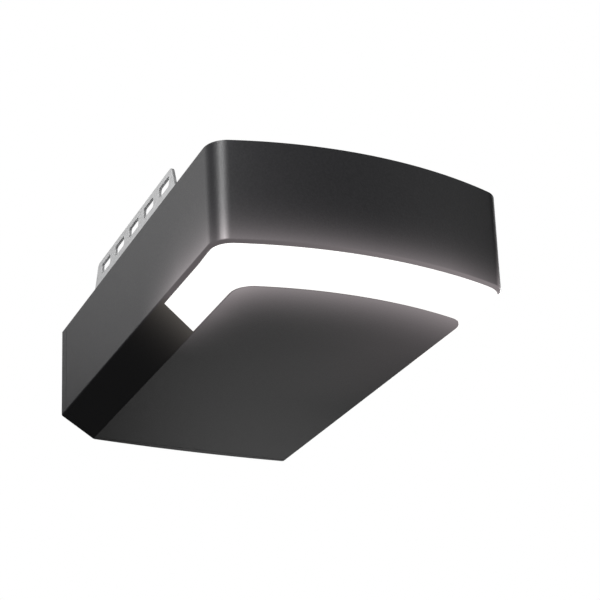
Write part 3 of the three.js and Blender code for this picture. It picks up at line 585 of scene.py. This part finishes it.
def rear_line(level, seam_y):
    """The plan line of the rear cover: from the left seam round the bowed back to the right seam."""
    half, rear, bow = level["half"], level["rear"], level["bow"]
    radius = (half * half + bow * bow) / (2 * bow)
    spread = math.asin(half / radius)
    soft = REAR_CORNER
    side = [Vector((-half, y)) for y in (seam_y, seam_y + (rear - soft - seam_y) / 2, rear - soft)]
    back = arc(0, rear + bow - radius, radius, math.pi / 2 + spread, math.pi / 2, 16)
    back = [Vector(p) for p in back if p[0] > -half + soft]
    start = Vector((-half + soft, back[0].y - (back[0].x + half - soft) * math.tan(spread)))
    left = [*side, *bent(side[-1], Vector((-half, rear)), start, 6), start, *back]
    return [tuple(p) for p in left] + [(-p.x, p.y) for p in reversed(left[:-1])]


def smaller(level, d):
    """A level's outline moved inwards in plan."""
    return {
        **level, "half": level["half"] - d, "front": level["front"] + d, "rear": level["rear"] - d,
        "arc": level["arc"] - d, "fillet": level["fillet"] - d,
    }


def skin_rows(line_of):
    """Rows of points from the rim down the wall, over its soft edge, down the chamfer and onto the
    bottom. line_of gives a level's plan line."""
    def loop(level):
        return [Vector((x, y, level["z"])) for x, y in line_of(level)]

    levels = (RIM, EDGE, FLOOR, smaller(FLOOR, FLOOR_SOFTNESS))
    columns = []
    for top, corner, bottom, flat in zip(*map(loop, levels)):
        wall, down = top - corner, bottom - corner
        up, along = wall.normalized(), down.normalized()
        upper = corner + up * EDGE_SOFTNESS
        lower = corner + along * EDGE_SOFTNESS
        foot = bottom - along * FLOOR_SOFTNESS
        column = [upper + (top - upper) * share for share in (1, 0.75, 0.5, 0.25, 0)]
        column += bent(upper, corner, lower, 6) + [lower]
        column += [corner + along * (LENS_LIP + d) for d in (0, LENS_CORNER)]
        column += [corner + down * 0.55, foot, *bent(foot, bottom, flat, 3), flat]
        columns.append(column)
    return [list(row) for row in zip(*columns)]


# The rows at the upper and lower edge of the lens window.
WINDOW_TOP = 11
WINDOW_BOTTOM = 14


def skin(name, rows, inside_window=lambda row, column: False):
    """An outer skin from rows of points, closed below by one flat face."""
    width = len(rows[0])
    verts = [p for row in rows for p in row]
    faces = []
    for i in range(len(rows) - 1):
        for j in range(width - 1):
            if not inside_window(i, j):
                a = i * width + j
                faces.append((a, a + 1, a + 1 + width, a + width))
    last = (len(rows) - 1) * width
    faces.append(tuple(range(last, last + width)))
    return new_object(name, verts, faces)


def main_cover():
    """The tray: walls, chamfer and bottom in one moulding, with the lens window cut in the chamfer."""
    seam = SEAM_Y - SEAM_GAP / 2
    side_ys = [seam, 130, 70, 10, -40, LENS_END_Y, LENS_END_Y - LENS_CORNER, -90, -110, -130, -146]
    rows = skin_rows(lambda level: straight_then_front(level, side_ys))
    first = side_ys.index(LENS_END_Y)
    last = len(rows[0]) - 1 - first

    def inside_window(row, column):
        return WINDOW_TOP <= row < WINDOW_BOTTOM and first <= column < last

    cover = skin("main_cover_skin", rows, inside_window)
    solidify(cover, WALL)
    soften(cover, 0.3)
    return cover


def rear_cover():
    """The end piece behind the seam, with openings for the controls and a row of vents."""
    seam = SEAM_Y + SEAM_GAP / 2
    cover = skin("rear_cover_skin", skin_rows(lambda level: rear_line(level, seam)))
    solidify(cover, WALL)
    shapes = [plate_shape(p, 0.8) for p in (PANEL, INLET, TERMINAL)]
    shapes += [rounded_rectangle(3.2, 14, 1.5, x, VENT_Z) for x in VENT_XS]
    carve(cover, [prism("opening", shape, "Y", *THROUGH_REAR) for shape in shapes])
    soften(cover, 0.3)
    return cover


def light_lens():
    """The opal band in the chamfer, a little below the casing's surface."""
    end = LENS_END_Y - LENS_GAP
    side_ys = [end, end - LENS_CORNER, -90, -110, -130, -146]
    edge, floor = (
        [Vector((x, y, level["z"])) for x, y in straight_then_front(level, side_ys)]
        for level in (EDGE, FLOOR)
    )
    rows = []
    count = len(edge)
    for i in range(count):
        before, after = max(i - 1, 0), min(i + 1, count - 1)
        down = floor[i] - edge[i]
        inward = (edge[after] - edge[before]).cross(down).normalized()
        along = down.normalized()
        top = edge[i] + along * (LENS_LIP + LENS_GAP)
        bottom = floor[i] - along * (FLOOR_SOFTNESS + LENS_GAP)
        across = [top.lerp(bottom, share) for share in (0, 0.12, 0.5, 0.88, 1)]
        rows.append([p + inward * LENS_SET_BACK for p in across])
    width = len(rows[0])
    faces = [
        (i * width + j, i * width + j + 1, (i + 1) * width + j + 1, (i + 1) * width + j)
        for i in range(count - 1) for j in range(width - 1)
    ]
    lens = new_object("lens_diffuser", [p for row in rows for p in row], faces)
    modifier = lens.modifiers.new("thickness", "SOLIDIFY")
    modifier.thickness = LENS_THICKNESS * MM
    modifier.offset = 1
    apply_modifiers(lens)
    face_outwards(lens)
    soften(lens, 0.25)
    return lens


settle(main_cover(), "casing_plastic", "main_cover")
settle(rear_cover(), "casing_plastic", "rear_cover")
settle(light_lens(), "lens_plastic", "light_lens")


# ------------------------------------------------------------------ sheet metal on the top
def chassis_plate():
    """The plate that closes the top, with two pressed beads, vents and holes."""
    inner = smaller(RIM, WALL + 0.7)
    back = [(x, y) for x, y in reversed(rear_line(inner, 100))]
    outline = back[1:-1] + straight_then_front(inner, [100])
    plate = prism("chassis_sheet", outline, "Z", PLATE_BOTTOM, PLATE_TOP)
    beads = [rounded_rectangle(9, 150, 4.4, side * 76, -20) for side in (-1, 1)]
    carve(plate, [prism("bead", bead, "Z", PLATE_TOP - 0.5, PLATE_TOP + 1.4) for bead in beads], "UNION")
    holes = [rounded_rectangle(24, 5, 2.4, side * 68, 122 + i * 12) for side in (-1, 1) for i in range(5)]
    holes.append(rounded_rectangle(30, 12, 4, -70, -150))
    holes.append(circle(CHANNEL["opening"], 64, 0, SHAFT["y"]))
    carve(plate, [prism("hole", hole, "Z", *THROUGH_PLATE) for hole in holes])
    soften(plate, 0.45)
    return plate


def hanging_bracket():
    """The left bracket: folded from one sheet, its upright flange slotted for the hanger bolts."""
    b = BRACKET
    outer, sheet, base, bend = -b["outer"], b["sheet"], REST_Z, b["bend"]
    turn = (math.pi, 1.5 * math.pi)
    outside = arc(outer + bend, base + bend, bend, *turn, 8)
    inside = arc(outer + bend, base + bend, bend - sheet, *reversed(turn), 8)
    foot = [(outer + b["foot"], base), (outer + b["foot"], base + sheet)]
    profile = [(outer, b["top"]), *outside, *foot, *inside, (outer + sheet, b["top"])]
    ends = (b["mid_y"] - b["half_base"], b["mid_y"] + b["half_base"])
    bracket = prism("hanging_bracket", profile, "Y", *ends)
    slope = math.atan2(b["half_base"] - b["half_top"], b["top"] - base)
    corner_y = b["half_top"] - b["corner"] * (1 - math.sin(slope)) / math.cos(slope)
    right = [(b["half_base"], base - 1), (b["half_base"], base)]
    right += arc(corner_y, b["top"] - b["corner"], b["corner"], slope, math.pi / 2, 10)
    outline = right + [(-y, z) for y, z in reversed(right)]
    trim = prism("trim", outline, "X", -140, -80, (0, b["mid_y"], 0))
    carve(bracket, [trim], "INTERSECT")
    s = BRACKET_SLOTS
    slots = []
    for i in range(s["count"]):
        y = s["mid_y"] + (i - (s["count"] - 1) / 2) * s["pitch"]
        shape = rounded_rectangle(s["length"], s["width"], s["corner"], y, s["z"])
        slots.append(prism("slot", shape, "X", -140, -110))
    carve(bracket, slots)
    soften(bracket, 0.35)
    return bracket


def mirrored(obj):
    """A mirror image of a piece across the middle of the unit."""
    twin = obj.copy()
    twin.data = obj.data.copy()
    bpy.context.scene.collection.objects.link(twin)
    twin.data.transform(Matrix.Scale(-1, 4, (1, 0, 0)))
    twin.data.flip_normals()
    return twin


def rail_channel():
    """The folded channel that holds the rail over the sprocket."""
    c = CHANNEL
    half, sheet, wall, bend = c["half"], c["sheet"], c["wall"], c["bend"]
    end_y = c["length"] / 2
    start, end = 1.5 * math.pi, 2 * math.pi
    outside = arc(half - bend, bend - sheet, bend, start, end, 8)
    inside = arc(half - bend, bend - sheet, bend - sheet, end, start, 8)
    right = [*outside, (half, wall), (half - sheet, wall), *inside]
    section = right + [(-x, z) for x, z in reversed(right)]
    channel = prism("rail_channel_sheet", section, "Y", -end_y, end_y)
    cuts = [prism("shaft_hole", circle(c["opening"], 64, 0, SHAFT["y"]), "Z", -5, 5)]
    cuts += [prism("cross_hole", circle(3.2, 32, y, 12), "X", -40, 40) for y in (-92, 92)]
    sink = [(0, -3), (3.3, -3), (3.3, -1.9), (5.9, 0.02), (5.9, 1), (0, 1)]
    cuts += [turned("sink", sink, (x, y, 0)) for x, y in CHANNEL_SCREWS]
    carve(channel, cuts)
    soften(channel, 0.3)
    return channel


bracket_left = hanging_bracket()
bracket_right = mirrored(bracket_left)
settle(bracket_left, "galvanised_sheet", "left_hanging_bracket")
settle(bracket_right, "galvanised_sheet", "right_hanging_bracket")
settle(chassis_plate(), "galvanised_sheet", "chassis_plate")
settle(rail_channel(), "galvanised_sheet", "rail_channel")


# ------------------------------------------------------------------ screws and bolts
def cross_recess(top, reach, depth):
    """Cutters for the cross in a screw's head."""
    bar = [(-reach, -0.55), (reach, -0.55), (reach, 0.55), (-reach, 0.55)]
    upright = [(y, x) for x, y in bar]
    return [prism("recess", shape, "Z", top - depth, top + 1) for shape in (bar, upright)]


def pan_screw(seat, shank_r, length, head_r, head):
    """A screw with a domed head; seat is the height under the head."""
    tip = seat - length
    profile = [
        (0, tip), (shank_r * 0.5, tip), (shank_r, tip + 1.5), (shank_r, seat),
        (head_r, seat), (head_r, seat + head * 0.45),
    ]
    for a in (i * math.pi / 16 for i in range(1, 8)):
        profile.append((head_r * math.cos(a), seat + head * (0.45 + 0.55 * math.sin(a))))
    screw = turned("pan_screw", [*profile, (0, seat + head)], sides=32)
    carve(screw, cross_recess(seat + head, head_r * 0.55, head * 0.5))
    soften(screw, 0.12)
    return screw


def countersunk_screw(top, shank_r, length, head_r, head):
    """A flat screw whose head ends at the height top."""
    profile = [
        (0, top - length), (shank_r, top - length), (shank_r, top - head),
        (head_r, top - 0.15), (head_r, top), (0, top),
    ]
    screw = turned("countersunk_screw", profile, sides=32)
    carve(screw, cross_recess(top, 3.1, 1.5))
    soften(screw, 0.1)
    return screw


def hex_bolt(seat, shank_r, length, head_r, head):
    """A hexagon bolt with a washer face, a chamfered crown and a rolled thread."""
    bolt = prism("hex_bolt", circle(head_r, 6), "Z", seat + 0.3, seat + head)
    flat = head_r * math.cos(math.pi / 6)
    crown = [
        (0, seat), (flat, seat), (head_r + 1, seat + 1.2), (head_r + 1, seat + head - 0.9),
        (flat - 0.2, seat + head), (0, seat + head),
    ]
    carve(bolt, [turned("crown", crown)], "INTERSECT")
    thread = [(0, seat - length), (shank_r - 0.6, seat - length)]
    for i in range(int(length * 0.6)):
        z = seat - length + 0.6 + i
        thread += [(shank_r, z), (shank_r - 0.5, z + 0.5)]
    thread += [(shank_r, seat - length * 0.38), (shank_r, seat + 0.6), (0, seat + 0.6)]
    washer = [(0, seat), (head_r - 0.4, seat), (head_r - 0.4, seat + 0.4), (0, seat + 0.4)]
    carve(bolt, [turned("thread", thread, sides=24), turned("washer", washer)], "UNION")
    soften(bolt, 0.12)
    return bolt


bracket_screw = pan_screw(PLATE_TOP + 0.2 + BRACKET["sheet"], 2.1, 12, 4.6, 3)
copies(bracket_screw, "zinc_steel", "bracket_screw", BRACKET_SCREWS)
copies(pan_screw(REST_Z, 1.9, 18, 4.2, 2.8), "zinc_steel", "cover_screw", COVER_SCREWS)
copies(countersunk_screw(-0.1, 2.9, 9, 5.4, 1.9), "zinc_steel", "channel_screw", CHANNEL_SCREWS)
copies(hex_bolt(REST_Z, 3, 24, 5.8, 4), "zinc_steel", "gearbox_bolt", HOUSING_BOLTS)
centre_bolt = hex_bolt(REST_Z, 3, 56, 5.8, 4)
centre_bolt.location = Vector((*TRANSFORMER, 0)) * MM
settle(centre_bolt, "zinc_steel", "transformer_bolt")


# ------------------------------------------------------------------ drive
CLIP_GROOVE = (17.8, 18.9)
CLIP = (17.9, 18.8)
SPROCKET_TEETH = 14
# Radius of a tooth's outline, and how far round its pitch each point lies.
TOOTH = (
    (13.2, 0.02), (13.0, 0.17), (13.2, 0.32), (14.4, 0.42), (15.5, 0.48),
    (15.8, 0.56), (15.8, 0.78), (15.5, 0.86), (14.4, 0.92),
)


def output_shaft():
    """A chamfered bar with a groove for the clip and a centre mark in its top."""
    r, low, high = SHAFT["r"], SHAFT["bottom"], SHAFT["top"]
    groove_low, groove_high = CLIP_GROOVE
    profile = [
        (0, low), (r - 0.8, low), (r, low + 0.8), (r, groove_low), (r - 0.9, groove_low),
        (r - 0.9, groove_high), (r, groove_high), (r - 0.6, high), (2.2, high), (0, high - 1.6),
    ]
    shaft = turned("output_shaft_bar", profile, (0, SHAFT["y"], 0), 64)
    soften(shaft, 0)
    return shaft


def drive_sprocket():
    """The toothed belt sprocket between its two flanges."""
    outline = []
    step = 2 * math.pi / SPROCKET_TEETH
    for i in range(SPROCKET_TEETH):
        for r, share in TOOTH:
            angle = (i + share) * step
            outline.append((r * math.cos(angle), r * math.sin(angle)))
    place = (0, SHAFT["y"], 0)
    wheel = prism("sprocket_wheel", outline, "Z", 4, 16, place)
    ring = [(0, 3), (17.4, 3), (18, 3.4), (18, 4.2), (17.4, 4.6), (0, 4.6)]
    flanges = [turned("flange", [(r, z + lift) for r, z in ring], place, 64) for lift in (0, 12.4)]
    carve(wheel, flanges, "UNION")
    bore = prism("bore", circle(SHAFT["r"] + 0.3, 48), "Z", 0, 20, place)
    lightening = [
        prism("hole", circle(1.3, 16, 10.2 * math.cos(a), 10.2 * math.sin(a)), "Z", 0, 20, place)
        for a in (i * math.pi / 3 for i in range(6))
    ]
    carve(wheel, [bore, *lightening])
    soften(wheel, 0.2)
    return wheel


def retaining_clip():
    """An open snap ring with an eye at each end."""
    inner, outer = SHAFT["r"] - 0.75, SHAFT["r"] + 1.7
    gap = 0.32
    body = arc(0, 0, outer, gap, 2 * math.pi - gap, 48) + arc(0, 0, inner, 2 * math.pi - gap, gap, 48)
    place = (0, SHAFT["y"], 0)
    clip = prism("snap_ring", body, "Z", *CLIP, place)
    eyes, holes = [], []
    for side in (-1, 1):
        x, y = 8.0 * math.cos(gap + 0.06), side * 8.0 * math.sin(gap + 0.06)
        eyes.append(prism("eye", circle(1.6, 24, x, y), "Z", *CLIP, place))
        holes.append(prism("eye_hole", circle(0.7, 16, x, y), "Z", 17, 20, place))
    carve(clip, eyes, "UNION")
    carve(clip, holes)
    soften(clip, 0.1)
    return clip


settle(output_shaft(), "zinc_steel", "output_shaft", "output")
settle(drive_sprocket(), "zinc_steel", "drive_sprocket", "output")
settle(retaining_clip(), "zinc_steel", "retaining_clip", "output")


# ------------------------------------------------------------------ controls
def control_panel():
    """The plate round the display and the buttons."""
    panel = prism("control_panel_plate", plate_shape(PANEL), "Y", PANEL["y0"], PANEL["y1"])
    holes = [circle(BUTTON_R + 0.5, 48, x, z) for x, z in BUTTONS.values()]
    cuts = [prism("button_hole", hole, "Y", *THROUGH_REAR) for hole in holes]
    cuts.append(prism("window_seat", plate_shape(DISPLAY, 0.6), "Y", PANEL["y1"] - 1.6, 220))
    carve(panel, cuts)
    soften(panel, 0.6, 3)
    return panel


def display_window():
    window = prism("display_pane", plate_shape(DISPLAY), "Y", PANEL["y1"] - 1.5, PANEL["y1"] - 0.1)
    soften(window, 0.3)
    return window


BUTTON_SYMBOLS = {
    "up": [(-2.4, -1.6), (2.4, -1.6), (0, 2.4)],
    "down": [(-2.4, 1.6), (0, -2.4), (2.4, 1.6)],
    "set": rounded_rectangle(3.6, 3.6, 0.5),
    "learn": circle(2.0, 32),
}


def button_cap(name, x, z):
    """A round cap with a dished face and a sunk symbol, its collar and its stem."""
    front, back, r = PANEL["y1"] + 1.8, PANEL["y1"] - 9, BUTTON_R
    collar = PANEL["y0"] - 0.3
    profile = [
        (0, 192), (1.6, 192), (2, 192.4), (2, back), (r, back),
        (r, collar - 2), (r + 1.6, collar - 2), (r + 1.6, collar), (r, collar),
        (r, front - 0.7), (r - 0.2, front - 0.25), (r - 0.7, front),
        (r - 1.6, front - 0.12), (0, front - 0.4),
    ]
    cap = turned("button_" + name + "_cap", profile, (x, 0, z), axis="Y")
    carve(cap, [prism("symbol", BUTTON_SYMBOLS[name], "Y", front - 0.75, front + 1, (x, 0, z))])
    soften(cap, 0.12, angle=35)
    return cap


def power_inlet():
    """The mains socket: a mouth with two cut corners, and three flat pins."""
    inlet = prism("power_inlet_body", plate_shape(INLET), "Y", INLET["y0"], INLET["y1"])
    x, z, face, depth, corner = INLET["x"], INLET["z"], INLET["y1"], 15, 1.5
    mouth = [(-11, -7.5), (11, -7.5), (11, 3.5), (7, 7.5), (-7, 7.5), (-11, 3.5)]
    soft_mouth = []
    for i, (a, b) in enumerate(mouth):
        here, before, after = Vector((a, b)), Vector(mouth[i - 1]), Vector(mouth[(i + 1) % 6])
        start = here + (before - here).normalized() * corner
        end = here + (after - here).normalized() * corner
        soft_mouth += [start, *bent(start, here, end, 4), end]
    outline = [(x + p.x, z + p.y) for p in soft_mouth]
    carve(inlet, [prism("mouth", outline, "Y", face - depth, face + 1)])
    pins = [
        prism("pin", rounded_rectangle(2, 4, 0.6, x + dx, z + dz, 3), "Y", face - depth - 1, face - 6)
        for dx, dz in ((-6.5, -1.5), (0, 2.5), (6.5, -1.5))
    ]
    carve(inlet, pins, "UNION")
    soften(inlet, 0.35)
    return inlet


def terminal_block():
    """Six spring terminals in a row, each with a round entry under a lever."""
    t = TERMINAL
    block = prism("terminal_block_body", plate_shape(t), "Y", t["y0"], t["y1"])
    pitch = t["width"] / TERMINAL_WAYS
    xs = [t["x"] + (i - (TERMINAL_WAYS - 1) / 2) * pitch for i in range(TERMINAL_WAYS)]
    cuts = [prism("entry", circle(2.2, 24, x, t["z"] - 3.5), "Y", t["y1"] - 8, 220) for x in xs]
    low, high = t["z"] - 8, t["z"] + 8
    for middle in (x + pitch / 2 for x in xs[:-1]):
        left, right = middle - 0.25, middle + 0.25
        groove = [(left, low), (right, low), (right, high), (left, high)]
        cuts.append(prism("groove", groove, "Y", t["y1"] - 0.6, 220))
    carve(block, cuts)
    levers = [rounded_rectangle(4.8, 5, 0.8, x, t["z"] + 4.5, 4) for x in xs]
    carve(block, [prism("lever", lever, "Y", t["y1"] - 1, t["y1"] + 1.2) for lever in levers], "UNION")
    soften(block, 0.3)
    return block


settle(control_panel(), "black_plastic", "control_panel")
settle(display_window(), "smoked_window", "display_window")
settle(power_inlet(), "black_plastic", "power_inlet")
settle(terminal_block(), "green_plastic", "terminal_block")
for name, (x, z) in BUTTONS.items():
    settle(button_cap(name, x, z), "grey_plastic", "button_" + name, f"button_{name}_cap")


# ------------------------------------------------------------------ pieces inside the casing
def finish_cad_pieces():
    """The CAD pieces that stay: their own procedural material, and softened edges."""
    for obj in NODES.values():
        if obj.hide_render:
            continue
        for seat in obj.material_slots:
            seat.material = LOOKS[seat.material.name.split(".")[0]]
        edges = obj.modifiers.new("soft_edges", "BEVEL")
        edges.width = 0.25 * MM
        edges.segments = 1
        edges.limit_method = "ANGLE"
        edges.angle_limit = math.radians(40)


finish_cad_pieces()


# ------------------------------------------------------------------ floor, world and lights
def make_floor():
    """The garage floor far below the hanging unit."""
    half, z = 60000, -2200
    corners = [(-half, -half, z), (half, -half, z), (half, half, z), (-half, half, z)]
    floor = new_object("floor", corners, [(0, 1, 2, 3)])
    s = Shader("floor_paint")
    s.set(
        Base_Color=s.mix(s.noise(3, detail=3), (0.80, 0.80, 0.80), (0.84, 0.84, 0.84)),
        Roughness=0.7,
        Emission_Color=(1, 1, 1, 1),
        Emission_Strength=0.62,
    )
    floor.data.materials.append(s.material)
    floor.visible_diffuse = floor.visible_glossy = False


def make_world():
    """White to the camera, a dimmer even grey as light."""
    world = bpy.data.worlds.new("studio")
    bpy.context.scene.world = world
    world.use_nodes = True
    nodes, links = world.node_tree.nodes, world.node_tree.links
    seen, ambient = nodes["Background"], nodes.new("ShaderNodeBackground")
    seen.inputs["Color"].default_value = (1, 1, 1, 1)
    seen.inputs["Strength"].default_value = 1.0
    ambient.inputs["Color"].default_value = (1, 1, 1, 1)
    ambient.inputs["Strength"].default_value = AMBIENT
    mix, path = nodes.new("ShaderNodeMixShader"), nodes.new("ShaderNodeLightPath")
    links.new(path.outputs["Is Camera Ray"], mix.inputs["Fac"])
    links.new(ambient.outputs[0], mix.inputs[1])
    links.new(seen.outputs[0], mix.inputs[2])
    links.new(mix.outputs[0], nodes["World Output"].inputs["Surface"])


def softbox(name, towards, distance, width, height, watts):
    """A rectangular soft light that shines at the unit from a direction."""
    data = bpy.data.lights.new(name, "AREA")
    data.shape = "RECTANGLE"
    data.size, data.size_y = width, height
    data.energy = watts
    light = bpy.data.objects.new(name, data)
    bpy.context.scene.collection.objects.link(light)
    direction = Vector(towards).normalized()
    light.location = Vector((0, 0, -0.055)) + direction * distance
    light.rotation_mode = "QUATERNION"
    light.rotation_quaternion = direction.to_track_quat("Z", "Y")
    light.visible_camera = False


make_floor()
make_world()
softbox("strip_front_left", (-0.658, -0.576, 0.485), 1.6, 0.40, 1.2, 21.8)
softbox("left_rear", (-0.52, 0.72, 0.46), 2.0, 1.0, 0.8, 3.0)
softbox("left", (-0.75, 0.48, 0.45), 2.0, 1.0, 0.8, 1.5)
softbox("front_right", (0.70, -0.65, 0.30), 2.0, 1.5, 1.2, 3.1)
softbox("front", (0.0, -0.87, 0.50), 2.0, 1.5, 1.2, 0.8)
softbox("below_rear", (0.374, 0.856, -0.356), 2.0, 0.5, 0.4, 0.73)
softbox("below", (0.30, 0.75, -0.60), 2.0, 0.9, 0.6, 0.4)
softbox("right_rear", (0.60, 0.60, 0.55), 2.0, 1.6, 1.2, 8.5)
softbox("right_low", (0.83, 0.53, 0.17), 2.0, 1.2, 0.3, 27.0)

scene = bpy.context.scene
scene.view_settings.view_transform = "Standard"
scene.view_settings.look = "None"
